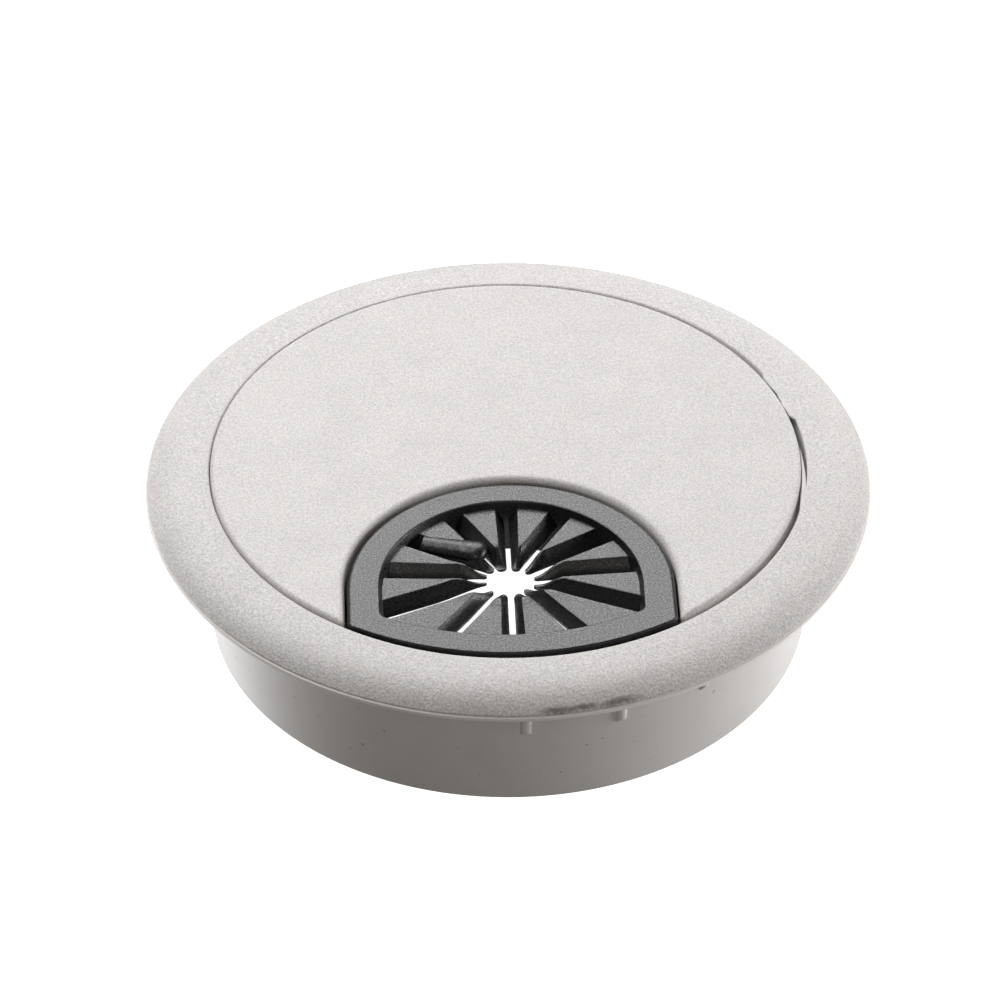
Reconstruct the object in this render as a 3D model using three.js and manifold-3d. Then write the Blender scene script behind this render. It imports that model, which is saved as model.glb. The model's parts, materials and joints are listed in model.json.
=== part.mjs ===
// Desk grommet: a flanged liner for a round desk hole, a turning cover with a
// D-shaped notch, and a black insert whose soft fingers close the notch around
// the cables. Millimetres, +Z up. The origin is the centre of the sleeve's lower
// rim, and the notch faces -Y.
import * as THREE from 'three';
import { mergeVertices } from 'three/addons/utils/BufferGeometryUtils.js';
import Module from 'manifold-3d';

const wasm = await Module();
wasm.setup();

// Liner
const FLANGE_R = 47.5;
const SLEEVE_R = 39.55;           // slips into an 80 mm hole
const SLEEVE_WALL = 2.05;
const SLEEVE_DEPTH = 20;          // desk surface down to the sleeve's lower rim
const RIM_R = 39.06;              // well that the cover sits in
const RIM_RISE = 3.4;             // desk surface up to the rim
const RIM_ROUND = 0.35;
const EDGE_RISE = 0.8;            // thickness of the flange at its outer edge
const EDGE_ROUND = 0.35;
const DOME_LINEAR = 0.22;         // share of the flange's fall that is a plain cone
const DOME_POWER = 4;             // how late the rest of the fall comes
const SEAT_Z = 21.1;              // ledge under the cover

// Crush ribs on the sleeve, in two opposite groups
const RIB_GROUP_BEARINGS = [-88.9, 91.1];
const RIBS_PER_GROUP = 4;
const RIB_STEP = 18;
const RIB_WIDTH = 1.3;
const RIB_PROUD = 0.5;
const RIB_LENGTH = 9.1;

// Nub: a length of the rim's upper edge that leans in over the cover's rounded edge
const NUB_FROM = 11.4;
const NUB_TO = 27.5;
const NUB_R = 38.5;
const NUB_Z = [23.0, 23.35];

// Cover
const COVER_R = 38.65;
const COVER_THICK = 2.3;
const COVER_ROUND = 0.5;
const COVER_SHIFT = [-0.3, 0.1];    // the loose cover lies off the liner's axis
const COVER_PROUD = 0.3;          // and its top stands above the rim
const SKIRT_R = 36.5;
const SKIRT_WALL = 1.2;
const SKIRT_DEPTH = 6;
const COLLAR_WALL = 1.2;
const LEDGE_REACH = 0.9;          // how far the collar's ledge reaches under the insert
const LEDGE_THICK = 1.2;
const NOTCH_SHIFT = [-0.26, -0.2];  // notch and insert lie off the cover's own axis
const NOTCH_EXTRA = 0.5;          // slack behind the insert's arch

// Insert
const GAP = 0.3;
const FRONT_R = 38.45;
const ARCH_R = 20.9;
const ARCH_Y = -25.4;
const THROAT_R = 16.7;
const THROAT_Y = -25.1;
const THROAT_FRONT_R = 34.75;
const INSERT_DEPTH = 7.8;

// Rosette of fingers; slit bearings are counter-clockwise from the arch's crown
const ROSETTE_Y = -21.8;
const HALF_BEARINGS = [31, 60, 86, 112.5, 143.8];
const SLIT_BEARINGS = [
  0, ...HALF_BEARINGS, 180, ...HALF_BEARINGS.map((bearing) => 360 - bearing).reverse(),
];
const HOLE_R = 3.45;
const SLIT_WIDTH = 0.8;
const GROOVE_WIDTH = 3.1;
const FINGER_RECESS = 0.85;
const FINGER_THICK = 2.15;

// Derived heights
const RIM_Z = SLEEVE_DEPTH + RIM_RISE;
const TOP_Z = RIM_Z + COVER_PROUD;
const COVER_BASE_Z = TOP_Z - COVER_THICK;
const INSERT_BASE_Z = TOP_Z - INSERT_DEPTH;
const LEDGE_Z = INSERT_BASE_Z - GAP;
const FINGER_TOP_Z = TOP_Z - FINGER_RECESS;
const FINGER_BASE_Z = FINGER_TOP_Z - FINGER_THICK;

// Derived plan positions, in the notch's own axes
const NOTCH_Y = ARCH_Y + NOTCH_EXTRA;
const COVER_AXIS = NOTCH_SHIFT.map((offset) => -offset);

const ROUND_SEGMENTS = 96;
const ARC_SEGMENTS = 24;
const WELD = 0.05;                // overlap of shapes that are joined into one piece
const FAR = 60;                   // past every edge of the part

// A closed three.js geometry as a solid that can be joined and cut.
function solid(geometry) {
  const bare = geometry.clone();
  bare.deleteAttribute('normal');
  bare.deleteAttribute('uv');
  const merged = mergeVertices(bare, 1e-4);
  const triangles = [];
  const index = merged.index.array;
  for (let i = 0; i < index.length; i += 3) {
    const [a, b, c] = index.slice(i, i + 3);
    if (a !== b && b !== c && c !== a) triangles.push(a, b, c);
  }
  const vertProperties = new Float32Array(merged.attributes.position.array);
  const triVerts = new Uint32Array(triangles);
  return new wasm.Manifold(new wasm.Mesh({ numProp: 3, vertProperties, triVerts }));
}

// A profile of [radius, height] points, counter-clockwise, turned about Z.
function turned(profile, segments = ROUND_SEGMENTS) {
  const points = profile.map(([r, z]) => new THREE.Vector2(r, z));
  return solid(new THREE.LatheGeometry(points, segments).rotateX(Math.PI / 2));
}

// A plan outline raised from one height to another.
function raised(shape, fromZ, toZ) {
  const options = { depth: toZ - fromZ, bevelEnabled: false, curveSegments: ARC_SEGMENTS };
  return solid(new THREE.ExtrudeGeometry(shape, options).translate(0, 0, fromZ));
}

function disc(radius, fromZ, toZ, x = 0, y = 0, segments = ROUND_SEGMENTS) {
  const geometry = new THREE.CylinderGeometry(radius, radius, toZ - fromZ, segments);
  return solid(geometry.rotateX(Math.PI / 2).translate(x, y, (fromZ + toZ) / 2));
}

// Half-round arch with straight sides that run out past the front of the part.
function archShape(radius, centreY) {
  const shape = new THREE.Shape();
  shape.moveTo(radius, -FAR);
  shape.lineTo(radius, centreY);
  shape.absarc(0, centreY, radius, 0, Math.PI, false);
  shape.lineTo(-radius, -FAR);
  return shape;
}

// The same arch closed by a round front about a centre of its own.
function archSolid(radius, centreY, frontR, fromZ, toZ, frontX = 0, frontY = 0) {
  const front = disc(frontR, fromZ, toZ, frontX, frontY);
  return raised(archShape(radius, centreY), fromZ, toZ).intersect(front);
}

function mesh(name, body, material) {
  const { vertProperties, triVerts } = body.getMesh();
  const geometry = new THREE.BufferGeometry();
  geometry.setAttribute('position', new THREE.BufferAttribute(vertProperties, 3));
  geometry.setIndex(new THREE.BufferAttribute(triVerts, 1));
  geometry.computeVertexNormals();
  const piece = new THREE.Mesh(geometry, material);
  piece.name = name;
  return piece;
}

function pale() {
  return new THREE.MeshStandardMaterial({ color: 0xd6d2cd, roughness: 0.62, metalness: 0 });
}

function black() {
  return new THREE.MeshStandardMaterial({ color: 0x161617, roughness: 0.55, metalness: 0 });
}

// Flange, from its outer edge up to the rim: a cone that steepens outwards.
function domeProfile() {
  const steps = 8;
  const inner = RIM_R + RIM_ROUND;
  const fall = RIM_RISE - EDGE_RISE;
  return Array.from({ length: steps + 1 }, (_, i) => {
    const s = 1 - i / steps;
    const drop = fall * (DOME_LINEAR * s + (1 - DOME_LINEAR) * s ** DOME_POWER);
    return [inner + s * (FLANGE_R - inner), RIM_Z - drop];
  });
}

function crushRib(bearing) {
  const half = RIB_WIDTH / 2;
  const shape = new THREE.Shape();
  shape.moveTo(-half, WELD);
  shape.lineTo(-half, half - RIB_LENGTH);
  shape.absarc(0, half - RIB_LENGTH, half, Math.PI, 2 * Math.PI, false);
  shape.lineTo(half, WELD);
  const depth = 2 * RIB_PROUD;
  const rib = new THREE.ExtrudeGeometry(shape, { depth, bevelEnabled: false, curveSegments: 6 });
  rib.rotateX(Math.PI / 2).translate(0, -(SLEEVE_R - RIB_PROUD), SLEEVE_DEPTH);
  return solid(rib.rotateZ(THREE.MathUtils.degToRad(bearing + 90)));
}

function rimNub() {
  const from = THREE.MathUtils.degToRad(NUB_FROM);
  const to = THREE.MathUtils.degToRad(NUB_TO);
  const shape = new THREE.Shape();
  shape.absarc(0, 0, RIM_R + RIM_ROUND, from, to, false);
  shape.absarc(0, 0, NUB_R, to, from, true);
  return raised(shape, ...NUB_Z);
}

function liner() {
  const bore = SLEEVE_R - SLEEVE_WALL;
  const lead = 0.3;
  const profile = [
    [bore, 0],
    [SLEEVE_R - lead, 0],
    [SLEEVE_R, lead],
    [SLEEVE_R, SLEEVE_DEPTH],
    [FLANGE_R - EDGE_ROUND, SLEEVE_DEPTH],
    [FLANGE_R - 0.3 * EDGE_ROUND, SLEEVE_DEPTH + 0.3 * EDGE_ROUND],
    [FLANGE_R, SLEEVE_DEPTH + EDGE_ROUND],
    ...domeProfile(),
    [RIM_R + 0.3 * RIM_ROUND, RIM_Z - 0.3 * RIM_ROUND],
    [RIM_R, RIM_Z - RIM_ROUND],
    [RIM_R, SEAT_Z],
    [bore, SEAT_Z],
    [bore, 0],
  ];
  let body = turned(profile).add(rimNub());
  for (const start of RIB_GROUP_BEARINGS) {
    for (let i = 0; i < RIBS_PER_GROUP; i++) body = body.add(crushRib(start + i * RIB_STEP));
  }
  return body;
}

function cover() {
  const plate = turned([
    [0, COVER_BASE_Z],
    [COVER_R, COVER_BASE_Z],
    [COVER_R, TOP_Z - COVER_ROUND],
    [COVER_R - 0.3 * COVER_ROUND, TOP_Z - 0.3 * COVER_ROUND],
    [COVER_R - COVER_ROUND, TOP_Z],
    [0, TOP_Z],
  ]);
  const skirtBase = COVER_BASE_Z - SKIRT_DEPTH;
  const skirtTop = COVER_BASE_Z + WELD;
  const skirt = turned([
    [SKIRT_R - SKIRT_WALL, skirtBase],
    [SKIRT_R, skirtBase],
    [SKIRT_R, skirtTop],
    [SKIRT_R - SKIRT_WALL, skirtTop],
    [SKIRT_R - SKIRT_WALL, skirtBase],
  ]);
  const notchR = ARCH_R + GAP;
  const collarBase = LEDGE_Z - LEDGE_THICK;
  const collarR = notchR + COLLAR_WALL;
  const collar = archSolid(collarR, NOTCH_Y, SKIRT_R, collarBase, skirtTop, ...COVER_AXIS);
  const notch = raised(archShape(notchR, NOTCH_Y), LEDGE_Z, TOP_Z + 1);
  const opening = raised(archShape(ARCH_R - LEDGE_REACH, ARCH_Y), 0, TOP_Z);
  return plate.add(skirt)
    .add(collar.translate([...NOTCH_SHIFT, 0]))
    .subtract(notch.translate([...NOTCH_SHIFT, 0]))
    .subtract(opening.translate([...NOTCH_SHIFT, 0]));
}

function insertFrame() {
  const rim = archSolid(ARCH_R, ARCH_Y, FRONT_R, COVER_BASE_Z, TOP_Z, ...COVER_AXIS);
  const wallTop = COVER_BASE_Z + WELD;
  const wall = archSolid(ARCH_R, ARCH_Y, SKIRT_R, INSERT_BASE_Z, wallTop, ...COVER_AXIS);
  const throat = archSolid(THROAT_R, THROAT_Y, THROAT_FRONT_R, 0, TOP_Z + 1);
  return rim.add(wall).subtract(throat);
}

function bearingDirection(bearing) {
  const angle = THREE.MathUtils.degToRad(bearing);
  return new THREE.Vector3(-Math.sin(angle), Math.cos(angle), 0);
}

const rosetteCentre = new THREE.Vector3(0, ROSETTE_Y, 0);

// Distance along a ray from the rosette's centre to a circle about (0, circleY).
function reachCircle(direction, circleY, radius) {
  const offset = ROSETTE_Y - circleY;
  const along = direction.y * offset;
  return -along + Math.sqrt(along * along + radius * radius - offset * offset);
}

// Where a slit's centre line meets the throat's wall.
function wallPoint(bearing) {
  const direction = bearingDirection(bearing);
  const arch = reachCircle(direction, THROAT_Y, THROAT_R);
  const front = reachCircle(direction, 0, THROAT_FRONT_R);
  const side = THROAT_R / Math.abs(direction.x);
  const inArch = ROSETTE_Y + arch * direction.y >= THROAT_Y;
  const reach = inArch ? arch : Math.min(side, front);
  return rosetteCentre.clone().addScaledVector(direction, reach);
}

// A slit with sloping flanks that open it into a V above the fingers' undersides.
function slitSolid(bearing) {
  const flank = (GROOVE_WIDTH - SLIT_WIDTH) / 2 / FINGER_THICK;
  const half = SLIT_WIDTH / 2;
  const over = 1;
  const wide = half + flank * (FINGER_THICK + over);
  const section = new THREE.Shape([
    new THREE.Vector2(-half, -over),
    new THREE.Vector2(half, -over),
    new THREE.Vector2(half, 0),
    new THREE.Vector2(wide, FINGER_THICK + over),
    new THREE.Vector2(-wide, FINGER_THICK + over),
    new THREE.Vector2(-half, 0),
  ]);
  const geometry = new THREE.ExtrudeGeometry(section, { depth: FAR, bevelEnabled: false });
  const along = bearingDirection(bearing);
  const up = new THREE.Vector3(0, 0, 1);
  const across = new THREE.Vector3().crossVectors(up, along);
  const place = new THREE.Matrix4().makeBasis(across, up, along);
  place.setPosition(0, ROSETTE_Y, FINGER_BASE_Z);
  return solid(geometry.applyMatrix4(place));
}

// Flat blank of one finger, with a straight root that is round about its hinge.
function fingerBlank(from, to) {
  const a = wallPoint(from);
  const b = wallPoint(to);
  const middle = a.clone().add(b).multiplyScalar(0.5);
  const chord = b.clone().sub(a).normalize();
  const up = new THREE.Vector3(0, 0, 1);
  const inward = new THREE.Vector3().crossVectors(up, chord);
  const radius = FINGER_THICK / 2;
  const hinge = middle.addScaledVector(inward, GAP + radius);
  const section = new THREE.Shape();
  section.absarc(0, 0, radius, Math.PI / 2, 1.5 * Math.PI, false);
  section.lineTo(FAR, -radius);
  section.lineTo(FAR, radius);
  const options = { depth: FAR, bevelEnabled: false, curveSegments: 8 };
  const geometry = new THREE.ExtrudeGeometry(section, options).translate(0, 0, -FAR / 2);
  const place = new THREE.Matrix4().makeBasis(inward, up, chord);
  place.setPosition(hinge.x, hinge.y, FINGER_BASE_Z + radius);
  return solid(geometry.applyMatrix4(place));
}

function finger(from, to) {
  const wedgeShape = new THREE.Shape();
  wedgeShape.moveTo(0, 0);
  for (const bearing of [from, to]) {
    const direction = bearingDirection(bearing);
    wedgeShape.lineTo(FAR * direction.x, FAR * direction.y);
  }
  const below = FINGER_BASE_Z - 1;
  const above = FINGER_TOP_Z + 1;
  const wedge = raised(wedgeShape, below, above).translate([0, ROSETTE_Y, 0]);
  const room = archSolid(THROAT_R - GAP, THROAT_Y, THROAT_FRONT_R - GAP, below, above);
  const hole = disc(HOLE_R, below, above, 0, ROSETTE_Y, 36);
  const blank = fingerBlank(from, to).intersect(wedge).intersect(room);
  return blank.subtract(slitSolid(from)).subtract(slitSolid(to)).subtract(hole);
}

const grommet = new THREE.Group();
grommet.add(mesh('liner', liner(), pale()));

const coverGroup = new THREE.Group();
coverGroup.position.set(...COVER_SHIFT, 0);
coverGroup.add(mesh('cover', cover(), pale()));

const insertGroup = new THREE.Group();
insertGroup.position.set(...NOTCH_SHIFT, 0);
insertGroup.add(mesh('insert_frame', insertFrame(), black()));
SLIT_BEARINGS.forEach((from, i) => {
  const next = SLIT_BEARINGS[i + 1] ?? 360;
  const name = `finger_${String(i + 1).padStart(2, '0')}`;
  insertGroup.add(mesh(name, finger(from, next), black()));
});
coverGroup.add(insertGroup);
grommet.add(coverGroup);

export default grommet;
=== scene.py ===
"""Desk grommet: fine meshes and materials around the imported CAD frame. Metres, +Z up.

The liner, the cover, the insert's frame and each finger get a mesh of their own that
stands in for the CAD node of the same name. Two more pieces show damage: a sliver that
has peeled off the rim, and the side of finger_02 that has curled up.
"""

import json
import math

import bmesh
import bpy
import numpy as np
from mathutils import Matrix, Vector


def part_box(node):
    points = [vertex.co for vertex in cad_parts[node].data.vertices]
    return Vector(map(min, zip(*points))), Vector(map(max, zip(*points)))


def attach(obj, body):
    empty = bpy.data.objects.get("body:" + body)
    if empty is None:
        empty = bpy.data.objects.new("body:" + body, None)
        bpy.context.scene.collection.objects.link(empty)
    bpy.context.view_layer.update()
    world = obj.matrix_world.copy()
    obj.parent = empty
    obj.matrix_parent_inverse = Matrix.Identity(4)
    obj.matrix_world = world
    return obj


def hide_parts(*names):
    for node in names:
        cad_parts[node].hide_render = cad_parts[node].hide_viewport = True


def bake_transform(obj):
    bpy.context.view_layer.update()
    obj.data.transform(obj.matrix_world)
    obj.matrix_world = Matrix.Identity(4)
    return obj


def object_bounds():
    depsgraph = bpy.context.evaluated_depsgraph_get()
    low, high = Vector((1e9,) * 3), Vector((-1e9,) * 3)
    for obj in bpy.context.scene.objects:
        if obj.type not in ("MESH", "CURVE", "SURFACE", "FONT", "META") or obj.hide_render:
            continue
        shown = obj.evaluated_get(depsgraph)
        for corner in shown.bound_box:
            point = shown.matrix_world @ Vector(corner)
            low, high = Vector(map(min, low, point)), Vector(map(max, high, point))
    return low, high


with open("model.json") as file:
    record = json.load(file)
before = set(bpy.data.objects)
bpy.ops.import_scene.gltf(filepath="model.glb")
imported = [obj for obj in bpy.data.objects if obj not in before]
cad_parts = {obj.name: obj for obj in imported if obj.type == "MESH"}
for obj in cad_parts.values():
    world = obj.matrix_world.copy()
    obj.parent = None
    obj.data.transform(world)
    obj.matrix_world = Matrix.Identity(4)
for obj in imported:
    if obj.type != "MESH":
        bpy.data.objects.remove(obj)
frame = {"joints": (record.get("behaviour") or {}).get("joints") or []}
cad_low, cad_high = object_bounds()
joints = {joint["name"]: joint for joint in frame["joints"]}

MM = 0.001
TURN = 2 * math.pi
TINY = 1e-6
CREASE = math.radians(35)

# Sizes that the frame gives, and two that lie inside its boxes: COVER_BASE_Z and ARCH_Y
FLANGE_R = cad_high.x
TOP_Z = cad_high.z
RIM_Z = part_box("liner")[1].z
cover_low, cover_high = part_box("cover")
insert_low, insert_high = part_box("insert_frame")
COVER_R = (cover_high.x - cover_low.x) / 2
COVER_BASE_Z = TOP_Z - 2.3 * MM
INSERT_BASE_Z = insert_low.z
ARCH_R = (insert_high.x - insert_low.x) / 2
ARCH_Y = -25.4 * MM
FINGER_BASE_Z, FINGER_TOP_Z = (corner.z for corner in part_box("finger_01"))

# The notch's own origin in plan, and the cover's axis as seen from it. The outlines of
# the cover and of the insert are drawn about the notch's origin.
NOTCH = Vector(((insert_low.x + insert_high.x) / 2, insert_high.y - ARCH_R - ARCH_Y))
COVER_AXIS = Vector(joints["cover_turn"]["pos_m"]).xy - NOTCH

# Liner
SLEEVE_R = 39.55 * MM
BORE_R = 37.5 * MM
RIM_R = 39.06 * MM
DESK_Z = 20 * MM
SEAT_Z = 21.1 * MM
EDGE_RISE = 0.85 * MM
LIP_PROUD = 0.22 * MM
LIP_RISE = 0.48 * MM
DOME_LINEAR = 0.22  # share of the dome's fall that is a straight slope
DOME_POWER = 4
DOME_POINTS = 24
RIB_GROUP_BEARINGS = (-88.9, 91.1)
RIBS_PER_GROUP = 4
RIB_STEP = 18
RIB_WIDTH = 1.35 * MM
RIB_PROUD = 0.5 * MM
RIB_LENGTH = 9.1 * MM
RIB_BLUNT = 0.4  # power of the rib's section; the smaller, the blunter its crown
RIM_ROUND = 0.32 * MM
FILLET_STEPS = 6
PROFILE_SPACING = 0.5 * MM

# How many sections the liner has: all round, across each rib and along the damage
LINER_SECTIONS = 420
RIB_SECTIONS = 33
DAMAGE_SECTIONS = 320
SECTION_GAP = 4e-4  # in radians; sections closer together than this are dropped

# Damage on the rim: bearings in degrees with how far the edge reaches inwards, in mm.
# The first group leans in and ends in a peeled sliver, the second is the nub.
RIM_REACH = (
    (-20, 0), (-17, 0.08), (-15, 0.26), (-12, 0.46), (-10, 0.52), (-9, 0.0),
    (11.5, 0.0), (12.3, 0.36), (13.5, 0.52), (15.5, 0.64), (17, 0.66), (18.3, 0.5),
    (20, 0.36), (22, 0.4), (24, 0.46), (26, 0.4), (26.6, 0.2), (27.5, 0.0),
)
# The damage fades in between these levels, and inwards between these radii
DAMAGE_FROM_Z = 22.6 * MM
DAMAGE_FULL_Z = 23.0 * MM
DAMAGE_FROM_R = RIM_R + 2.2 * MM
DAMAGE_FULL_R = RIM_R + 0.4 * MM
LUMP_HEIGHT = 0.03 * MM

# The slot behind the sliver, where the seat is sunk and the wall set back
SLOT_FROM = math.radians(-9.5)
SLOT_TO = math.radians(12)
SLOT_DEPTH = 1.6 * MM
SLOT_OPEN = 0.35 * MM
SLOT_DRAFT = 0.8 * MM

# The sliver: bearings in degrees with its inner and outer radius, in mm
SLIVER = (
    (-17, 38.98, 39.20), (-15, 38.80, 39.20), (-12, 38.60, 39.20), (-9.5, 38.53, 39.15),
    (-8, 38.48, 39.05), (-6, 38.44, 38.92), (-4, 38.42, 38.80), (-2, 38.42, 38.67),
    (0, 38.42, 38.58), (2, 38.42, 38.50),
)
SLIVER_DEEP = 0.6 * MM

# Cover
COVER_ROUND = 0.6 * MM
NOTCH_ROUND = 0.9 * MM
NOTCH_R = ARCH_R + 0.3 * MM
NOTCH_Y = ARCH_Y + 0.5 * MM
TIP_R = 0.3 * MM
TIP_POINTS = 7
COVER_RIM_POINTS = 240
NOTCH_POINTS = 80
NOTCH_SIDE_POINTS = 8
SKIRT_POINTS = 192
SKIRT_R = 36.5 * MM
SKIRT_WALL = 1.2 * MM
SKIRT_DEPTH = 6 * MM
COLLAR_WALL = 1.2 * MM
LEDGE_Z = INSERT_BASE_Z - 0.3 * MM
LEDGE_REACH = 0.9 * MM
LEDGE_THICK = 1.2 * MM
SKIRT_FRONT_Y = -math.sqrt((SKIRT_R - 0.1 * MM) ** 2 - (NOTCH_R + COLLAR_WALL) ** 2)

# Insert
FRONT_R = 38.6 * MM
INSERT_ROUND = 0.75 * MM
FRONT_SHARE = 0.2  # the front edge's round, as a share of the one elsewhere
INSERT_CORNER = 1.1 * MM
THROAT_ROUND = 0.3 * MM
THROAT_DRAFT = 0.4 * MM
THROAT_R = 16.7 * MM
THROAT_Y = -25.1 * MM
THROAT_FRONT_R = 34.75 * MM
CROWN_POINTS = 97
SIDE_POINTS = 10
CORNER_POINTS = 8
LIP_POINTS = 64

# Rosette; slit bearings are counter-clockwise from the arch's crown, slit widths in mm
ROSETTE = Vector((0, -21.8 * MM))
HALF_BEARINGS = (31, 60, 86, 112.5, 143.8)
SLIT_BEARINGS = (0, *HALF_BEARINGS, 180, *(360 - b for b in reversed(HALF_BEARINGS)), 360)
HOLE_R = 3.05 * MM
TIP_BULGE = 0.6 * MM
TIP_LIFT = 0.2  # height of a finger's crest at its tip, as a share of the one at its root
SLIT_WIDTHS = (0.6, 0.5, 0.75, 0.9, 1.3, 0.8, 0.8, 0.5, 0.75, 0.9, 0.95, 0.7, 0.6)

# How each finger's tip is bent: mm further from the hole's centre, mm higher
TIP_BENDS = (
    (-0.1, 0), (0, 0.35), (0, 0.55), (-0.1, 0.55), (-0.1, 0.4), (-0.3, 0.3),
    (-0.3, 0.3), (-0.7, 0.2), (0, 0), (0.2, 0), (0, 0), (-0.2, 0),
)
BEND_SHARE = 0.5  # share of a finger's length, from its tip, that is bent
TIP_RAMP = 0.28  # share of a finger's length over which its crest gains its full height
FINGER_SAMPLES = 65
FLANK_RUN = 1.15 * MM
SLIT_LAND = 0.22 * MM
FINGER_ROUND = 0.12 * MM

# The curled side of finger_02, from its root to its blunt end, seen from the rosette
CURL_ROOT = Vector((-10.9, 7.1)) * MM
CURL_END = Vector((-4.2, 5.2)) * MM
CURL_WIDE = 1.5 * MM
CURL_HIGH = 0.95 * MM
CURL_PROUD = 0.22 * MM

# Colours
SHELL_COLOUR = (0.68, 0.655, 0.645)
# painted light: the flange's lip is paler than the shell to stand in for the light it catches
PAINTED_LIT_EDGE_COLOUR = (0.92, 0.87, 0.85, 1)
SCUFF_COLOUR = (0.16, 0.13, 0.125, 1)
SPECK_COLOUR = (0.2, 0.17, 0.16, 1)
BLACK = 0.006

# Scuffs on the flange's front edge: bearing in degrees, then radius, half length and half
# width in mm
SCUFFS = ((-84.6, 47.0, 3.4, 0.6), (-80.4, 46.95, 3.4, 0.5), (-74.8, 46.95, 4.2, 0.6))


# ---------------------------------------------------------------- meshes

def outward(mesh):
    """Turns every face of a closed mesh outwards."""
    work = bmesh.new()
    work.from_mesh(mesh)
    bmesh.ops.recalc_face_normals(work, faces=work.faces)
    work.to_mesh(mesh)
    work.free()
    mesh.update()


def piece(name, points, faces, body, material):
    """A closed mesh that rides on a CAD body, or on none where body is None."""
    mesh = bpy.data.meshes.new(name)
    mesh.from_pydata([tuple(p) for p in points], [], faces)
    mesh.validate()
    outward(mesh)
    mesh.shade_smooth()
    mesh.set_sharp_from_angle(angle=CREASE)
    mesh.materials.append(material)
    made = bpy.data.objects.new(name, mesh)
    bpy.context.scene.collection.objects.link(made)
    if body:
        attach(made, body)
    return made


def arc(x, y, radius, start, end, count):
    """Points along an arc, both ends included; angles are in radians."""
    angles = np.linspace(start, end, count)
    return np.stack([x + radius * np.cos(angles), y + radius * np.sin(angles)], axis=1)


def line(start, end, count):
    """Points along a line, without its two ends."""
    shares = np.linspace(0, 1, count + 2)[1:-1, None]
    return np.asarray(start) * (1 - shares) + np.asarray(end) * shares


def round_profile(corners, spacing):
    """A closed outline of (r, z, fillet) corners as closely spaced points."""
    count = len(corners)
    points = []
    for i, (r, z, fillet) in enumerate(corners):
        here = Vector((r, z))
        before = Vector(corners[i - 1][:2]) - here
        after = Vector(corners[(i + 1) % count][:2]) - here
        if fillet == 0:
            points.append(here)
            continue
        half = before.angle(after) / 2
        reach = fillet / math.tan(half)
        middle = here + (before.normalized() + after.normalized()).normalized() * (
            fillet / math.sin(half)
        )
        start = here + before.normalized() * reach - middle
        end = here + after.normalized() * reach - middle
        turn = start.angle_signed(end)
        for share in np.linspace(0, 1, FILLET_STEPS + 1):
            points.append(middle + Matrix.Rotation(-turn * share, 2) @ start)
    dense = []
    for here, there in zip(points, points[1:] + points[:1]):
        gap = (there - here).length
        cuts = max(1, math.ceil(gap / spacing))
        dense.extend(here.lerp(there, k / cuts) for k in range(cuts))
    return np.array(dense)


def ring_faces(rings, points_per_ring, closed):
    """Quads between successive rings of points; closed joins the last ring to the first."""
    faces = []
    for i in range(rings if closed else rings - 1):
        this = i * points_per_ring
        other = (i + 1) % rings * points_per_ring
        for j in range(points_per_ring):
            k = (j + 1) % points_per_ring
            faces.append((this + j, this + k, other + k, other + j))
    return faces


def smooth_step(low, high, value):
    """0 below low and 1 above high, eased between; the other way round if low > high."""
    share = np.clip((value - low) / (high - low), 0, 1)
    return share * share * (3 - 2 * share)


def wavy(value, seed):
    """A smooth irregular wave between about -1 and 1; each seed gives a different one."""
    rates = (1.0, 2.3, 4.1, 7.7)
    total = sum(np.sin(rate * value + seed * (k + 1.7)) / (k + 1) for k, rate in enumerate(rates))
    return total / 1.6


# ---------------------------------------------------------------- liner

def rib_angles():
    return [
        math.radians(start + k * RIB_STEP)
        for start in RIB_GROUP_BEARINGS
        for k in range(RIBS_PER_GROUP)
    ]


def liner_angles():
    """Bearings of the liner's sections, closer together at the ribs and the nub."""
    fine = [np.linspace(0, TURN, LINER_SECTIONS, endpoint=False)]
    for middle in rib_angles():
        fine.append(middle + np.linspace(-0.02, 0.02, RIB_SECTIONS))
    first, last = math.radians(RIM_REACH[0][0]), math.radians(RIM_REACH[-1][0])
    fine.append(np.linspace(first - 0.03, last + 0.03, DAMAGE_SECTIONS))
    angles = np.sort(np.concatenate(fine) % TURN)
    keep = np.diff(angles, append=angles[0] + TURN) > SECTION_GAP
    return angles[keep]


def rib_height(angle, z):
    """How far the nearest crush rib stands out of the sleeve's wall."""
    height = np.zeros(np.broadcast(angle, z).shape)
    half = RIB_WIDTH / 2
    foot = DESK_Z - RIB_LENGTH + half
    for middle in rib_angles():
        across = (angle - middle + math.pi) % TURN - math.pi
        distance = np.hypot(across * SLEEVE_R, np.minimum(z - foot, 0))
        share = np.clip(1 - (distance / half) ** 2, 0, 1)
        height = np.maximum(height, RIB_PROUD * share**RIB_BLUNT)
    return height


def rim_reach(bearing):
    """How far the rim's upper edge reaches in; the nub's edge is jagged, the sliver's not."""
    bearings, reaches = np.array(RIM_REACH).T
    reach = np.interp(np.degrees(bearing), bearings, reaches, left=0, right=0) * MM
    jag = 0.1 * wavy(bearing * 120, 3.1) + 0.06 * wavy(bearing * 420, 1.3)
    return reach * (1 + jag * (bearing > SLOT_TO - 0.02))


def slot_share(bearing):
    """1 along the slot behind the sliver, where the seat is sunk, and 0 elsewhere."""
    opened = smooth_step(SLOT_FROM - 0.005, SLOT_FROM + 0.02, bearing)
    return opened * smooth_step(SLOT_TO + 0.01, SLOT_TO - 0.005, bearing)


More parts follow.
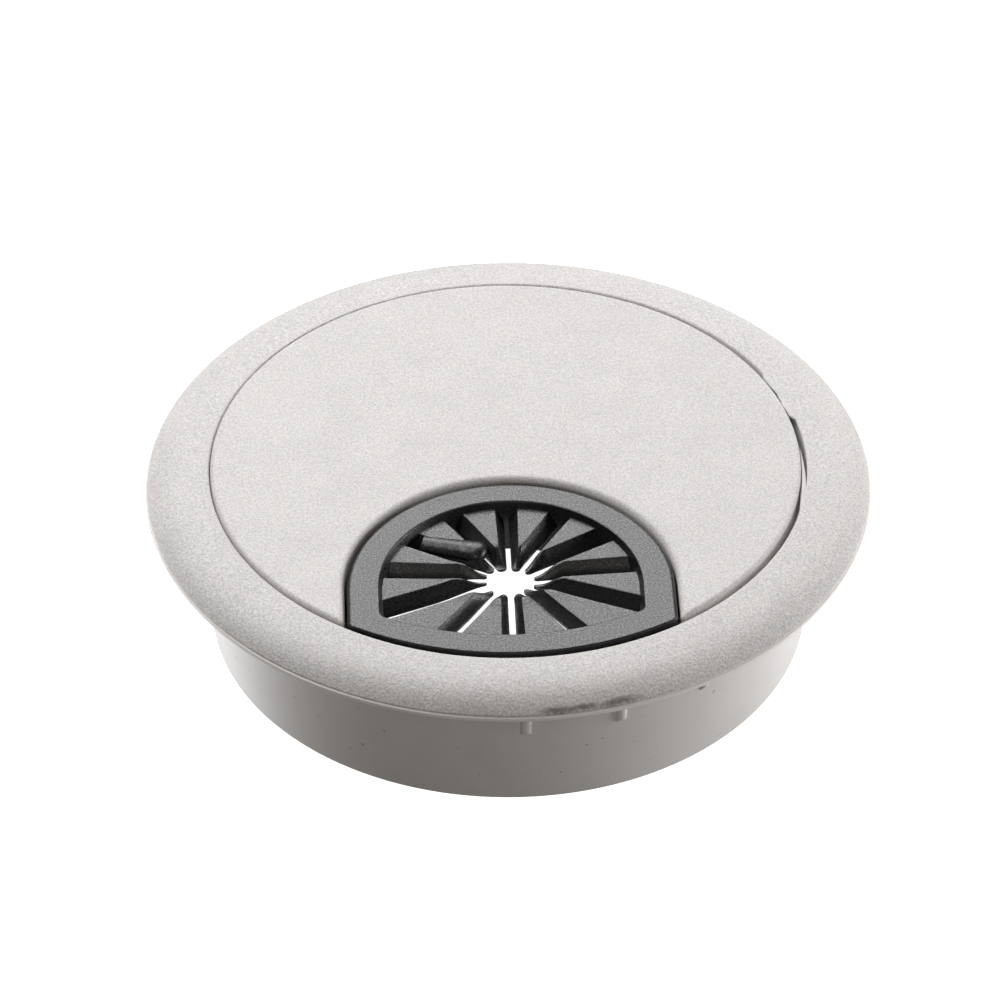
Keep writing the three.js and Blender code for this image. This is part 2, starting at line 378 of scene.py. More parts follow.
def liner_profile():
    """The liner's section as (r, z) points: sleeve, flange, dome, rim and seat."""
    fall = RIM_Z - DESK_Z - EDGE_RISE
    rim = RIM_R + RIM_ROUND
    edge = FLANGE_R - LIP_PROUD
    corners = [
        (BORE_R, 0, 0.4 * MM),
        (SLEEVE_R, 0, 0.4 * MM),
        (SLEEVE_R, DESK_Z, 0.12 * MM),
        (FLANGE_R, DESK_Z, 0.1 * MM),
        (FLANGE_R, DESK_Z + LIP_RISE, 0.12 * MM),
        (edge, DESK_Z + LIP_RISE + 0.14 * MM, 0.05 * MM),
    ]
    for share in np.linspace(1, 0, DOME_POINTS):
        drop = fall * (DOME_LINEAR * share + (1 - DOME_LINEAR) * share**DOME_POWER)
        rounded = 0.22 * MM if share == 1 else 0
        corners.append((rim + share * (edge - rim), RIM_Z - drop, rounded))
    corners[-1] = (RIM_R, RIM_Z, RIM_ROUND - 0.04 * MM)
    corners += [(RIM_R, SEAT_Z, 0.15 * MM), (BORE_R, SEAT_Z, 0.2 * MM)]
    return round_profile(corners, PROFILE_SPACING)


def make_liner(flange_material, sleeve_material, painted_lit_edge_material):
    angles = liner_angles()
    profile = liner_profile()
    angle = angles[:, None]
    bearing = (angle + math.pi) % TURN - math.pi
    r = profile[None, :, 0]
    z = profile[None, :, 1]
    below_flange = (z > DESK_Z - RIB_LENGTH - MM) & (z < DESK_Z - 0.1 * MM)
    on_sleeve = (abs(r - SLEEVE_R) < TINY) & below_flange
    above = smooth_step(DAMAGE_FROM_Z, DAMAGE_FULL_Z, z)
    inside = smooth_step(DAMAGE_FROM_R, DAMAGE_FULL_R, r) * above
    lumps = LUMP_HEIGHT * wavy(angle * 90 + r * 5200, 5.3) * inside
    nub = rim_reach(bearing) * inside
    slot = slot_share(bearing)
    well = (r <= RIM_R + TINY) & (z > SEAT_Z - TINY)
    seat = smooth_step(BORE_R + 0.2 * MM, BORE_R + 0.6 * MM, r) * smooth_step(RIM_Z, SEAT_Z, z)
    tilt = SLOT_OPEN - SLOT_DRAFT * smooth_step(RIM_Z - 0.3 * MM, SEAT_Z, z)
    radius = r + rib_height(angle, z) * on_sleeve - nub + tilt * slot * well
    height = z + lumps * smooth_step(0, 0.3 * MM, nub) * (z > RIM_Z - 0.4 * MM)
    height = np.minimum(height, RIM_Z + 0.02 * MM)
    height = height - SLOT_DEPTH * slot * seat * well
    points = np.stack([radius * np.cos(angle), radius * np.sin(angle), height + 0 * angle], axis=2)
    faces = ring_faces(len(angles), len(profile), closed=True)
    made = piece("liner_shell", points.reshape(-1, 3), faces, "liner", flange_material)
    made.data.materials.append(sleeve_material)
    made.data.materials.append(painted_lit_edge_material)
    sleeve_index, painted_lit_edge_index = 1, 2
    for polygon in made.data.polygons:
        x, y, z = polygon.center
        from_axis = math.hypot(x, y)
        # painted light: faces of the flange's lip get the paler edge colour
        if from_axis > FLANGE_R - LIP_PROUD and z > DESK_Z + 0.05 * MM:
            polygon.material_index = painted_lit_edge_index
        elif z < DESK_Z + 0.4 * MM or from_axis < RIM_R:
            polygon.material_index = sleeve_index
    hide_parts("liner")


def make_sliver(material):
    """The sliver that has peeled off the rim beside the slot, as a thin curved strip."""
    bearings, inner, outer = np.array(SLIVER).T
    stations = np.linspace(bearings[0], bearings[-1], 60)
    low_r = np.interp(stations, bearings, inner) * MM
    high_r = np.interp(stations, bearings, outer) * MM
    turns = np.linspace(0, TURN, 16, endpoint=False)
    rings = []
    for bearing, near, far in zip(np.radians(stations), low_r, high_r):
        across = (far - near) / 2
        r = (near + far) / 2 + across * np.cos(turns)
        squared = np.sign(np.sin(turns)) * abs(np.sin(turns)) ** 0.5
        z = RIM_Z - SLIVER_DEEP / 2 * (1 - squared)
        rings.append(np.column_stack([r * math.cos(bearing), r * math.sin(bearing), z]))
    points, faces = capped(rings)
    piece("rim_sliver", points, faces, "liner", material)


# ---------------------------------------------------------------- cover

def round_corner(side_x, circle_r, corner_x):
    """Centre of the small round between a side and a circle about the cover's axis."""
    x = side_x + corner_x
    reach = circle_r - abs(corner_x)
    y = COVER_AXIS.y - math.sqrt(reach**2 - (x - COVER_AXIS.x) ** 2)
    return x, y, math.atan2(y - COVER_AXIS.y, x - COVER_AXIS.x)


def cover_outline(edge_inset, notch_inset):
    """Plan of the cover, counter-clockwise, and for each point its share of the notch's edge."""
    circle_r = COVER_R - edge_inset
    notch_r = NOTCH_R + notch_inset
    x, y, bearing = round_corner(notch_r, circle_r, TIP_R)
    left_x, left_y, left_bearing = round_corner(-notch_r, circle_r, -TIP_R)
    left_bearing += TURN
    right = arc(x, y, TIP_R, -math.pi, bearing, TIP_POINTS)
    rim = arc(*COVER_AXIS, circle_r, bearing, left_bearing, COVER_RIM_POINTS + 2)[1:-1]
    left = arc(left_x, left_y, TIP_R, left_bearing, TURN, TIP_POINTS)
    left_side = line((-notch_r, left_y), (-notch_r, NOTCH_Y), NOTCH_SIDE_POINTS)
    crown = arc(0, NOTCH_Y, notch_r, math.pi, 0, NOTCH_POINTS)
    right_side = line((notch_r, NOTCH_Y), (notch_r, y), NOTCH_SIDE_POINTS)
    outline = np.concatenate([right, rim, left, left_side, crown, right_side])
    tip = np.linspace(1, 0, TIP_POINTS)
    inner = np.ones(len(outline) - len(right) - len(rim) - len(left))
    share = np.concatenate([tip, np.zeros(len(rim)), tip[::-1], inner])
    return outline, share


def cover_ring(angle, floor_z=None):
    """One loop of the cover's rounded edge, from its side (0) to its top (a quarter turn).

    With floor_z it is a level loop at that height, inset as far.
    """
    inset = 1 - math.cos(angle)
    sink = 1 - math.sin(angle)
    outline, share = cover_outline(COVER_ROUND * inset, NOTCH_ROUND * inset)
    z = TOP_Z - sink * (COVER_ROUND * (1 - share) + NOTCH_ROUND * share)
    if floor_z is not None:
        z = np.full(len(outline), floor_z)
    return np.column_stack([outline, z])


def capped(rings):
    """Points and faces of a stack of rings, closed at both ends."""
    size = len(rings[0])
    faces = ring_faces(len(rings), size, closed=False)
    last = (len(rings) - 1) * size
    faces.append(tuple(range(size))[::-1])
    faces.append(tuple(range(last, last + size)))
    return np.concatenate(rings), faces


def flat_ring(outline, z):
    return np.column_stack([outline, np.full(len(outline), z)])


def bare_object(name, points, faces):
    mesh = bpy.data.meshes.new(name)
    mesh.from_pydata([tuple(p) for p in points], [], faces)
    mesh.update()
    made = bpy.data.objects.new(name, mesh)
    bpy.context.scene.collection.objects.link(made)
    return made


def combine(base, others, operation):
    """Joins the others to base, or cuts them out of it, and removes them."""
    for other in others:
        modifier = base.modifiers.new("combine", "BOOLEAN")
        modifier.operation = operation
        modifier.solver = "EXACT"
        modifier.object = other
        graph = bpy.context.evaluated_depsgraph_get()
        mesh = bpy.data.meshes.new_from_object(base.evaluated_get(graph))
        base.modifiers.clear()
        base.data = mesh
        bpy.data.objects.remove(other)


def band(outer, inner, low, high):
    """A closed wall between two outlines with as many points each."""
    loops = ((outer, low), (outer, high), (inner, high), (inner, low))
    rings = [flat_ring(outline, z) for outline, z in loops]
    return np.concatenate(rings), ring_faces(len(rings), len(outer), closed=True)


def prism(name, radius, length, low, high):
    """A block with the notch's arched end, running forwards to y = -length."""
    crown = arc(0, NOTCH_Y, radius, 0, math.pi, NOTCH_POINTS)
    outline = np.concatenate([crown, [(-radius, -length), (radius, -length)]])
    return bare_object(name, *capped([flat_ring(outline, z) for z in (low, high)]))


def skirt_outline(radius):
    return arc(*COVER_AXIS, radius, 0, TURN, SKIRT_POINTS + 1)[:-1]


def make_cover(material):
    quarter = np.linspace(0, math.pi / 2, 10)
    rings = [
        cover_ring(0.5, COVER_BASE_Z),  # inset a little, which chamfers the foot
        cover_ring(0.0, COVER_BASE_Z + 0.2 * MM),
        *(cover_ring(angle) for angle in quarter),
    ]
    outline, _ = cover_outline(COVER_ROUND + 0.2 * MM, NOTCH_ROUND + 0.2 * MM)
    rings.append(flat_ring(outline, TOP_Z))
    plate = bare_object("plate", *capped(rings))

    inside_plate = COVER_BASE_Z + 0.4 * MM
    outer, inner = skirt_outline(SKIRT_R), skirt_outline(SKIRT_R - SKIRT_WALL)
    walls = band(outer, inner, COVER_BASE_Z - SKIRT_DEPTH, inside_plate)
    skirt = bare_object("skirt", *walls)
    collar_base = LEDGE_Z - LEDGE_THICK
    block = prism("collar", NOTCH_R + COLLAR_WALL, -SKIRT_FRONT_Y, collar_base, inside_plate)
    combine(plate, [skirt, block], "UNION")
    past_edge = 1.5 * COVER_R
    seat = prism("seat", NOTCH_R + 0.01 * MM, past_edge, LEDGE_Z, TOP_Z - 1.3 * MM)
    way = prism("way", ARCH_R - LEDGE_REACH, past_edge, 0, LEDGE_Z + MM)
    combine(plate, [seat, way], "DIFFERENCE")

    points = np.array([v.co for v in plate.data.vertices]) + (*NOTCH, 0)
    faces = [tuple(p.vertices) for p in plate.data.polygons]
    bpy.data.objects.remove(plate)
    made = piece("cover_plate", points, faces, "cover", material)
    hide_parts("cover")


# ---------------------------------------------------------------- insert

def d_outline(radius, centre_y, front, front_r, corner):
    """Arch, straight sides and a round front about a centre, counter-clockwise."""
    reach = front_r - corner
    x = radius - corner
    y = front.y - math.sqrt(reach**2 - (x - front.x) ** 2)
    left_y = front.y - math.sqrt(reach**2 - (x + front.x) ** 2)
    bearing = math.atan2(y - front.y, x - front.x)
    left_bearing = math.atan2(left_y - front.y, -x - front.x)
    crown = arc(0, centre_y, radius, 0, math.pi, CROWN_POINTS)
    left_side = line((-radius, centre_y), (-radius, left_y), SIDE_POINTS)
    left_corner = arc(-x, left_y, corner, math.pi, TURN + left_bearing, CORNER_POINTS)
    lip = arc(front.x, front.y, front_r, left_bearing, bearing, LIP_POINTS + 2)[1:-1]
    right_corner = arc(x, y, corner, bearing, 0, CORNER_POINTS)
    right_side = line((radius, y), (radius, centre_y), SIDE_POINTS)
    return np.concatenate([crown, left_side, left_corner, lip, right_corner, right_side])


def outer_d(inset, z, low=False):
    """A level loop of the insert's outside; low is the part below the cover's plate."""
    front_r = (SKIRT_R if low else FRONT_R) - inset * FRONT_SHARE
    corner = max(INSERT_CORNER - inset, 0.1 * MM)
    return flat_ring(d_outline(ARCH_R - inset, ARCH_Y, COVER_AXIS, front_r, corner), z)


def top_edge(angle):
    """One loop of the insert's rounded top edge, which is tighter along the front."""
    ring = outer_d(INSERT_ROUND * (1 - math.cos(angle)), TOP_Z)
    behind = np.zeros(CROWN_POINTS + SIDE_POINTS)
    ramp = np.linspace(0, 1, CORNER_POINTS)
    side = np.zeros(SIDE_POINTS)
    front = np.concatenate([behind, ramp, np.ones(LIP_POINTS), ramp[::-1], side])
    ring[:, 2] -= INSERT_ROUND * (1 - math.sin(angle)) * (1 - (1 - FRONT_SHARE) * front)
    return ring


def inner_d(outset, z):
    """A level loop of the insert's throat."""
    front_r = THROAT_FRONT_R + outset
    corner = INSERT_CORNER + outset
    centre = Vector((0, 0))
    return flat_ring(d_outline(THROAT_R + outset, THROAT_Y, centre, front_r, corner), z)


def flanks_without_painted_glints(made, material):
    """Gives every face that doesn't face up a material of its own, so that painted glints stay on
    the faces that face up.
    """
    made.data.materials.append(material)
    for polygon in made.data.polygons:
        polygon.material_index = int(polygon.normal.z < 0.9)


def make_insert_frame(material, flank_material):
    quarter = np.linspace(0, math.pi / 2, 7)
    foot = 0.25 * MM
    margin = 0.15 * MM
    low = INSERT_BASE_Z
    step = COVER_BASE_Z
    rings = [
        outer_d(foot, low, True),
        outer_d(0.0, low + foot, True),
        outer_d(0.0, step, True),
        outer_d(0.0, step + 0.05 * MM),
        outer_d(0.0, TOP_Z - INSERT_ROUND - 0.2 * MM),
        *(top_edge(angle) for angle in quarter),
        outer_d(INSERT_ROUND + margin, TOP_Z),
        inner_d(THROAT_ROUND + margin, TOP_Z),
    ]
    for angle in quarter[::-1]:
        inset = THROAT_ROUND * (1 - math.cos(angle))
        rings.append(inner_d(inset, TOP_Z - THROAT_ROUND * (1 - math.sin(angle))))
    rings += [
        inner_d(-THROAT_DRAFT, FINGER_TOP_Z - 0.1 * MM),
        inner_d(-THROAT_DRAFT, low + foot),
        inner_d(foot - THROAT_DRAFT, low),
    ]
    faces = ring_faces(len(rings), len(rings[0]), closed=True)
    points = np.concatenate(rings) + (*NOTCH, 0)
    made = piece("insert_ring", points, faces, "insert", material)
    flanks_without_painted_glints(made, flank_material)
    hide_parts("insert_frame")


# ---------------------------------------------------------------- fingers

def bearing_direction(bearing):
    angle = math.radians(bearing)
    return Vector((-math.sin(angle), math.cos(angle)))


def reach_circle(start, direction, centre_y, radius):
    """Distance from start along direction to a circle about (0, centre_y)."""
    offset = start - Vector((0, centre_y))
    along = direction.dot(offset)
    return -along + math.sqrt(along**2 + radius**2 - offset.length_squared)


def throat_reach(start, direction):
    """Distance from start along direction to the throat's wall at the fingers' level."""
    wall_r = THROAT_R - THROAT_DRAFT
    crown = reach_circle(start, direction, THROAT_Y, wall_r)
    if (start + direction * crown).y >= THROAT_Y:
        return crown
    front = reach_circle(start, direction, 0, THROAT_FRONT_R - THROAT_DRAFT)
    target = math.copysign(wall_r, direction.x)
    side = (target - start.x) / direction.x if abs(direction.x) > TINY else front
    return min(side, front)


def finger_curves(index, count):
    """Tip curve and root curve of one finger, from one slit to the next."""
    a = bearing_direction(SLIT_BEARINGS[index])
    b = bearing_direction(SLIT_BEARINGS[index + 1])
    a_edge = ROSETTE + Vector((-a.y, a.x)) * SLIT_WIDTHS[index] / 2 * MM
    b_edge = ROSETTE - Vector((-b.y, b.x)) * SLIT_WIDTHS[index + 1] / 2 * MM
    reach = HOLE_R + TIP_BULGE + TIP_BENDS[index][0] * MM
    tip_a = a_edge + a * reach
    tip_b = b_edge + b * reach
    middle = (a + b).normalized()
    embed = 0.3 * MM  # how far the root runs into the throat's wall
    tips, roots = [], []
    for share in np.linspace(0, 1, count):
        around = math.pi * share
        sweep = (1 - math.cos(around)) / 2
        tip = tip_a.lerp(tip_b, sweep) - middle * TIP_BULGE * math.sin(around)
        tips.append(tip)
        direction = a.slerp(b, share)
        origin = a_edge.lerp(b_edge, share)
        roots.append(origin + direction * (throat_reach(origin, direction) + embed))
    return np.array(tips), np.array(roots)


def finger_section(width, lift):
    """A finger's upper side as (share across, height) points; lift lowers it at the tip."""
    top = FINGER_TOP_Z - FINGER_BASE_Z
    slope = FLANK_RUN / (top - SLIT_LAND)
    flat = 0.16 * MM  # least half width of the crest
    run = min(FLANK_RUN, width / 2 - flat)
    rise = min(top, SLIT_LAND + run / slope * (1 + 0.35 * (1 - run / FLANK_RUN)))
    rise = SLIT_LAND + (rise - SLIT_LAND) * lift
    half = width / 2
    f = FINGER_ROUND
    ease = run / math.hypot(run, rise - SLIT_LAND)
    left = []
    for share in np.linspace(0, 1, 9):
        left.append((share * (run - f * ease), SLIT_LAND + share * (rise - SLIT_LAND - f)))
    corner = []
    for k in range(1, 5):
        t = k / 5
        x0, z0 = left[-1]
        x = (1 - t) ** 2 * x0 + 2 * t * (1 - t) * (run - f * 0.1) + t * t * (run + f)
        z = (1 - t) ** 2 * z0 + 2 * t * (1 - t) * rise + t * t * rise
        corner.append((x, z))
    crest = [(run + f + (half - run - f) * k / 3, rise) for k in range(4)]
    side = left + corner + crest
    mirror = [(width - x, z) for x, z in side[-2::-1]]
    return [(x / width, z) for x, z in side + mirror]


def finger_mesh(index):
    """Points and faces of one finger, from its tip (station 0) to its root (station 1)."""
    tips, roots = finger_curves(index, FINGER_SAMPLES)
    samples = np.linspace(0, 1, FINGER_SAMPLES)
    near_tip = np.linspace(0, 0.3, 16)
    stations = np.concatenate([near_tip, np.linspace(near_tip[-1], 1, 20)[1:]])
    upper, lower = [], []
    for s in stations:
        plan = tips * (1 - s) + roots * s
        width = max(np.linalg.norm(plan[-1] - plan[0]), 0.5 * MM)
        lift = TIP_LIFT + (1 - TIP_LIFT) * smooth_step(0, TIP_RAMP, s)
        section = finger_section(width, lift)
        shares = [share for share, _ in section]
        x = np.interp(shares, samples, plan[:, 0])
        y = np.interp(shares, samples, plan[:, 1])
        base = FINGER_BASE_Z + TIP_BENDS[index][1] * MM * smooth_step(BEND_SHARE, 0, s)
        z = base + np.array([height for _, height in section])
        upper.append(np.column_stack([x, y, z]))
        lower.append(np.column_stack([x, y, np.full(len(x), base)]))
    size = len(upper[0])
    rows = len(stations)
    rings = [np.concatenate([u, l[::-1]]) for u, l in zip(upper, lower)]
    faces = ring_faces(rows, 2 * size, closed=False)
    for row in (0, rows - 1):
        base = row * 2 * size
        end = base + 2 * size - 1
        for j in range(size - 1):
            faces.append((base + j, base + j + 1, end - 1 - j, end - j))
    points = np.concatenate(rings) + (*NOTCH, 0)
    return points, faces


def bend_with(made):
    """Bakes a piece's placement into its mesh."""
    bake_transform(made)


def make_finger(index, material, flank_material):
    body = f"finger_{index + 1:02d}"
    points, faces = finger_mesh(index)
    made = piece(f"{body}_soft", points, faces, None, material)
    flanks_without_painted_glints(made, flank_material)
    bend_with(made)
    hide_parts(body)


def make_curl(material):
    """The side of finger_02 that has curled up into a blunt, shiny roll."""
    root = (ROSETTE + CURL_ROOT).to_3d()
    end = (ROSETTE + CURL_END).to_3d()
    along = (end - root).normalized()
    across = along.cross(Vector((0, 0, 1)))
    turns = np.linspace(0, TURN, 24, endpoint=False)
    length = (end - root).length
    stations = [(length * share, 1) for share in np.linspace(0, 1, 41)]
    for angle in np.linspace(0.2, 1.45, 8):  # the rounded end
        stations.append((length + CURL_WIDE * math.sin(angle), math.cos(angle)))
    rings = []
    for distance, share in stations:
        swell = share * (0.9 + 0.25 * distance / length + 0.03 * wavy(distance * 500, 2.2))
        centre = root + along * distance
        z = FINGER_TOP_Z + CURL_PROUD - CURL_HIGH
        ring = []
        for turn in turns:
            side = centre + across * CURL_WIDE * swell * math.cos(turn)
            ring.append((side.x, side.y, z + CURL_HIGH * swell * math.sin(turn)))
        rings.append(np.array(ring))
    points, faces = capped(rings)
    made = piece("finger_02_curl", points + (*NOTCH, 0), faces, None, material)
    bend_with(made)


# ---------------------------------------------------------------- materials

def new_material(name):
    material = bpy.data.materials.new(name)
    material.use_nodes = True
    nodes = material.node_tree.nodes
    return material, nodes, material.node_tree.links, nodes["Principled BSDF"]


def node(nodes, kind, **values):
    made = nodes.new(kind)
    for key, value in values.items():
        if hasattr(made, key):
            setattr(made, key, value)
        else:
            made.inputs[key].default_value = value
    return made


def shell_material(name, grain_size, grain_depth, painted_pit_shade):
    """Pale moulded plastic with an etched grain; painted shade darkens the grain's pits, and the
    base colour is raised to make up for it.
    """
    material, nodes, links, shader = new_material(name)
    base = Vector(SHELL_COLOUR) * (1 + painted_pit_shade)
    place = node(nodes, "ShaderNodeTexCoord").outputs["Object"]
    grain = node(nodes, "ShaderNodeTexNoise", Scale=1 / grain_size, Detail=2.0, Roughness=0.55)
    cloud = node(nodes, "ShaderNodeTexNoise", Scale=160.0, Detail=4.0, Roughness=0.55)
    tint = node(nodes, "ShaderNodeValToRGB")
    tint.color_ramp.elements[0].position = 0.3
    tint.color_ramp.elements[0].color = (*base * 0.97, 1)
    tint.color_ramp.elements[1].position = 0.7
    tint.color_ramp.elements[1].color = (*base * 1.03, 1)
    # painted shade: the base colour is darkened where the grain noise is low, in its pits
    painted_pit_shade_ramp = node(nodes, "ShaderNodeValToRGB")
    painted_pit_shade_ramp.color_ramp.elements[0].position = 0.32
    painted_pit_shade_ramp.color_ramp.elements[0].color = (*[1 - 2 * painted_pit_shade] * 3, 1)
    painted_pit_shade_ramp.color_ramp.elements[1].position = 0.68
    painted_pit_shade_ramp.color_ramp.elements[1].color = (1, 1, 1, 1)
    shade = node(nodes, "ShaderNodeMix", data_type="RGBA", blend_type="MULTIPLY")
    shade.inputs["Factor"].default_value = 1.0
    bump = node(nodes, "ShaderNodeBump", Strength=1.0, Distance=grain_depth)
    for texture in (grain, cloud):
        links.new(place, texture.inputs["Vector"])
    links.new(cloud.outputs["Fac"], tint.inputs["Fac"])
    links.new(grain.outputs["Fac"], painted_pit_shade_ramp.inputs["Fac"])
    links.new(tint.outputs["Color"], shade.inputs["A"])
    links.new(painted_pit_shade_ramp.outputs["Color"], shade.inputs["B"])
    links.new(shade.outputs["Result"], shader.inputs["Base Color"])
    links.new(grain.outputs["Fac"], bump.inputs["Height"])
    links.new(bump.outputs["Normal"], shader.inputs["Normal"])
    shader.inputs["Roughness"].default_value = 0.55
    return material


def darken(material, mask, colour):
    """Lays a colour over a material's own colour where the mask is 1."""
    nodes = material.node_tree.nodes
    links = material.node_tree.links
    shader = nodes["Principled BSDF"]
    under = shader.inputs["Base Color"].links[0].from_socket
    layer = node(nodes, "ShaderNodeMix", data_type="RGBA")
    layer.inputs["B"].default_value = colour
    links.new(mask, layer.inputs["Factor"])
    links.new(under, layer.inputs["A"])
    links.new(layer.outputs["Result"], shader.inputs["Base Color"])


def add_scuffs(material):
    """Dark scuffs, broken up by noise, at the places that SCUFFS lists."""
    nodes = material.node_tree.nodes
    links = material.node_tree.links
    place = node(nodes, "ShaderNodeTexCoord").outputs["Object"]
    patchy = node(nodes, "ShaderNodeTexNoise", Scale=1300.0, Detail=3.0, Roughness=0.6)
    links.new(place, patchy.inputs["Vector"])
    for bearing, radius, half_length, half_width in SCUFFS:
        angle = math.radians(bearing)
        spot = node(nodes, "ShaderNodeMapping", vector_type="TEXTURE")
        x, y = radius * MM * math.cos(angle), radius * MM * math.sin(angle)
        spot.inputs["Location"].default_value = (x, y, DESK_Z + MM)
        spot.inputs["Rotation"].default_value = (0, 0, angle + math.pi / 2)
        spot.inputs["Scale"].default_value = (half_length * MM, half_width * MM, 5 * MM)
        blob = node(nodes, "ShaderNodeTexGradient", gradient_type="SPHERICAL")
        both = node(nodes, "ShaderNodeMath", operation="MULTIPLY")
        mask = node(nodes, "ShaderNodeMapRange")
        mask.inputs["From Min"].default_value = 0.08
        mask.inputs["From Max"].default_value = 0.42
        mask.inputs["To Max"].default_value = 0.8
        links.new(place, spot.inputs["Vector"])
        links.new(spot.outputs["Vector"], blob.inputs["Vector"])
        links.new(blob.outputs["Fac"], both.inputs[0])
        links.new(patchy.outputs["Fac"], both.inputs[1])
        links.new(both.outputs["Value"], mask.inputs["Value"])
        darken(material, mask.outputs["Result"], SCUFF_COLOUR)


def add_specks(material):
    """A few tiny dark specks."""
    nodes = material.node_tree.nodes
    links = material.node_tree.links
    place = node(nodes, "ShaderNodeTexCoord").outputs["Object"]
    dots = node(nodes, "ShaderNodeTexNoise", Scale=1100.0, Detail=1.0, Roughness=0.4)
    mask = node(nodes, "ShaderNodeMapRange")
    mask.inputs["From Min"].default_value = 0.74
    mask.inputs["From Max"].default_value = 0.8
    mask.inputs["To Max"].default_value = 0.5
    links.new(place, dots.inputs["Vector"])
    links.new(dots.outputs["Fac"], mask.inputs["Value"])
    darken(material, mask.outputs["Result"], SPECK_COLOUR)


def painted_lit_edge_material():
    """The flange's smooth outer lip, painted paler than the rest: painted light for the light that
    the lip catches and that glows through its thin edge.
    """
    material, _, _, shader = new_material("pale_plastic_painted_lit_edge")
    shader.inputs["Base Color"].default_value = PAINTED_LIT_EDGE_COLOUR
    shader.inputs["Roughness"].default_value = 0.5
    return material


def insert_material(name, painted_glint):
    """Black moulded plastic; its grain breaks up the shine. The second argument sets pale painted
    glints in the base colour where the grain is low, which stand in for the sparkle of the sheen.
    """
    material, nodes, links, shader = new_material(name)
    place = node(nodes, "ShaderNodeTexCoord").outputs["Object"]
    grain = node(nodes, "ShaderNodeTexNoise", Scale=4600.0, Detail=2.0, Roughness=0.6)
    shine = node(nodes, "ShaderNodeMapRange")
    shine.inputs["From Min"].default_value = 0.3
    shine.inputs["From Max"].default_value = 0.7
    shine.inputs["To Min"].default_value = 0.18
    shine.inputs["To Max"].default_value = 0.6
    # painted highlight: pale glints painted into the base colour where the grain is low
    painted_glint_ramp = node(nodes, "ShaderNodeValToRGB")
    painted_glint_ramp.color_ramp.elements[0].position = 0.28
    painted_glint_ramp.color_ramp.elements[0].color = (*[BLACK + painted_glint] * 3, 1)
    painted_glint_ramp.color_ramp.elements[1].position = 0.5
    painted_glint_ramp.color_ramp.elements[1].color = (*[BLACK] * 3, 1)
    bump = node(nodes, "ShaderNodeBump", Strength=0.5, Distance=0.06 * MM)
    links.new(place, grain.inputs["Vector"])
    links.new(grain.outputs["Fac"], shine.inputs["Value"])
    links.new(shine.outputs["Result"], shader.inputs["Roughness"])
    links.new(grain.outputs["Fac"], bump.inputs["Height"])
    links.new(bump.outputs["Normal"], shader.inputs["Normal"])
    links.new(grain.outputs["Fac"], painted_glint_ramp.inputs["Fac"])
    links.new(painted_glint_ramp.outputs["Color"], shader.inputs["Base Color"])
    shader.inputs["IOR"].default_value = 1.65
    return material


def floor_material():
    material, _, _, shader = new_material("pale_floor")
    shader.inputs["Base Color"].default_value = (0.9, 0.9, 0.9, 1)
    shader.inputs["Roughness"].default_value = 0.9
    shader.inputs["Emission Color"].default_value = (1, 1, 1, 1)
    shader.inputs["Emission Strength"].default_value = 1.0
    return material


# ---------------------------------------------------------------- studio

# The photo's viewpoint: bearing and elevation in degrees, seen from the target
VIEW_BEARING = -92.0
VIEW_ELEVATION = 38.936
VIEW_DISTANCE = 0.68557
VIEW_TARGET = Vector((-1.047 * MM, 0.037 * MM, 17.077 * MM))
VIEW_ROLL = math.radians(-0.154)
LENS = 187.62
SENSOR = 36

LIGHT_DISTANCE = 0.9
LIGHT_TARGET = Vector((0, 0, 12 * MM))


def direction_to(bearing, elevation):
    """Unit vector at a bearing from +x and an elevation above the desk, in degrees."""
    bearing, elevation = math.radians(bearing), math.radians(elevation)
    level = math.cos(elevation)
    return Vector((
        level * math.cos(bearing),
        level * math.sin(bearing),
        math.sin(elevation),
    ))


def look_at(thing, position, target, roll=0.0):
    direction = target - position
    turned = direction.to_track_quat("-Z", "Y").to_matrix().to_4x4()
    thing.matrix_world = Matrix.Translation(position) @ turned @ Matrix.Rotation(roll, 4, "Z")


def make_camera():
    data = bpy.data.cameras.new("camera")
    data.lens = LENS
    data.sensor_width = SENSOR
    data.clip_start = 0.01
    camera = bpy.data.objects.new("camera", data)
    bpy.context.scene.collection.objects.link(camera)
    out = direction_to(VIEW_BEARING, VIEW_ELEVATION)
    look_at(camera, VIEW_TARGET + out * VIEW_DISTANCE, VIEW_TARGET, VIEW_ROLL)
    bpy.context.scene.camera = camera


def soft_light(name, bearing, elevation, size, power, tint=(1, 1, 1), shine=True):
    """A rectangular lamp; without shine it lights the part but isn't mirrored in it."""
    data = bpy.data.lights.new(name, "AREA")
    data.shape = "RECTANGLE"
    data.size, data.size_y = size
    data.energy = power
    data.color = tint
    light = bpy.data.objects.new(name, data)
    light.visible_glossy = shine
    bpy.context.scene.collection.objects.link(light)
    look_at(light, direction_to(bearing, elevation) * LIGHT_DISTANCE, LIGHT_TARGET)


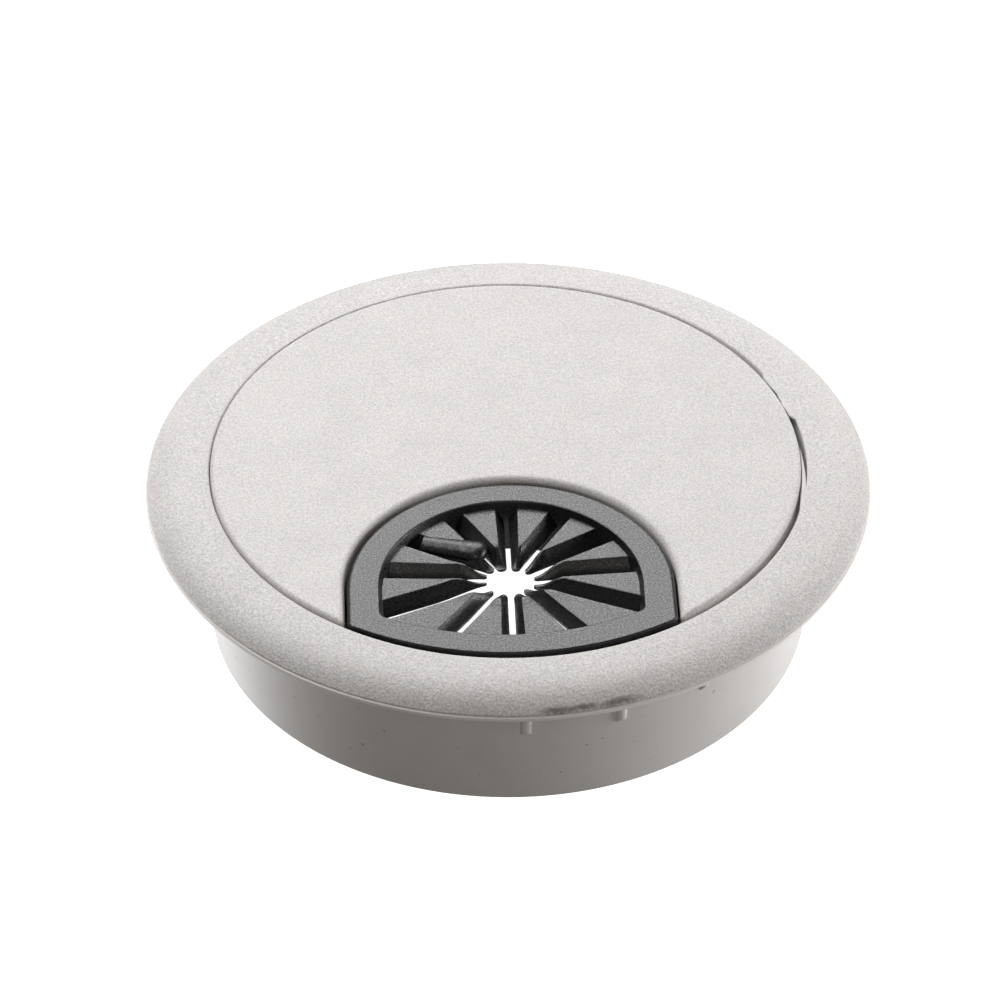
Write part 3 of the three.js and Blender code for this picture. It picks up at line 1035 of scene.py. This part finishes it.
def make_floor():
    size = 3.0
    corners = [(-size, -size, 0), (size, -size, 0), (size, size, 0), (-size, size, 0)]
    floor = bare_object("floor", corners, [(0, 1, 2, 3)])
    floor.location.z = -0.1 * MM
    floor.data.materials.append(floor_material())
    floor.visible_diffuse = False
    floor.visible_glossy = False
    floor.visible_shadow = False


def make_studio():
    make_floor()
    warm = (1.0, 0.955, 0.9)
    soft_light("back", 90, 39, (0.9, 0.45), 6.5)
    soft_light("high_left", 150, 55, (0.4, 0.4), 4.5)
    soft_light("right", 3, 5, (0.5, 0.5), 6.6)
    soft_light("front", -90, 35, (0.5, 0.5), 1.1, warm)
    soft_light("table_front", -90, -30, (1.0, 0.5), 1.35, warm)
    soft_light("table_back", 90, -22, (1.4, 0.4), 3.5, shine=False)
    soft_light("table_left", 150, -25, (0.5, 0.5), 7.2)
    soft_light("table_right", 30, -25, (0.5, 0.5), 3.2)
    world = bpy.data.worlds.new("studio")
    world.use_nodes = True
    world.node_tree.nodes["Background"].inputs["Color"].default_value = (1, 1, 1, 1)
    world.node_tree.nodes["Background"].inputs["Strength"].default_value = 0.0
    bpy.context.scene.world = world
    bpy.context.scene.view_settings.view_transform = "Standard"


# ---------------------------------------------------------------- the scene

make_camera()
make_studio()
# painted shade: the last argument sets the painted shade in the grain's pits; the sleeve has none
cover_plastic = shell_material("pale_plastic_cover", 0.27 * MM, 0.06 * MM, 0.15)
flange_plastic = shell_material("pale_plastic_flange", 0.3 * MM, 0.08 * MM, 0.17)
sleeve_plastic = shell_material("pale_plastic_sleeve", 0.34 * MM, 0.01 * MM, 0.0)
# painted highlight: faces that face up get the copy with pale painted glints, flanks and the curl
# the copy without
black_grain_and_painted_glints = insert_material("black_plastic_grain_and_painted_glints", 0.16)
black_without_painted_glints = insert_material("black_plastic_no_painted_glints", 0.0)
add_scuffs(flange_plastic)
add_specks(sleeve_plastic)
painted_lit_edge_plastic = painted_lit_edge_material()
make_liner(flange_plastic, sleeve_plastic, painted_lit_edge_plastic)
make_sliver(sleeve_plastic)
make_cover(cover_plastic)
make_insert_frame(black_grain_and_painted_glints, black_without_painted_glints)
for finger_index in range(len(TIP_BENDS)):
    make_finger(finger_index, black_grain_and_painted_glints, black_without_painted_glints)
make_curl(black_without_painted_glints)
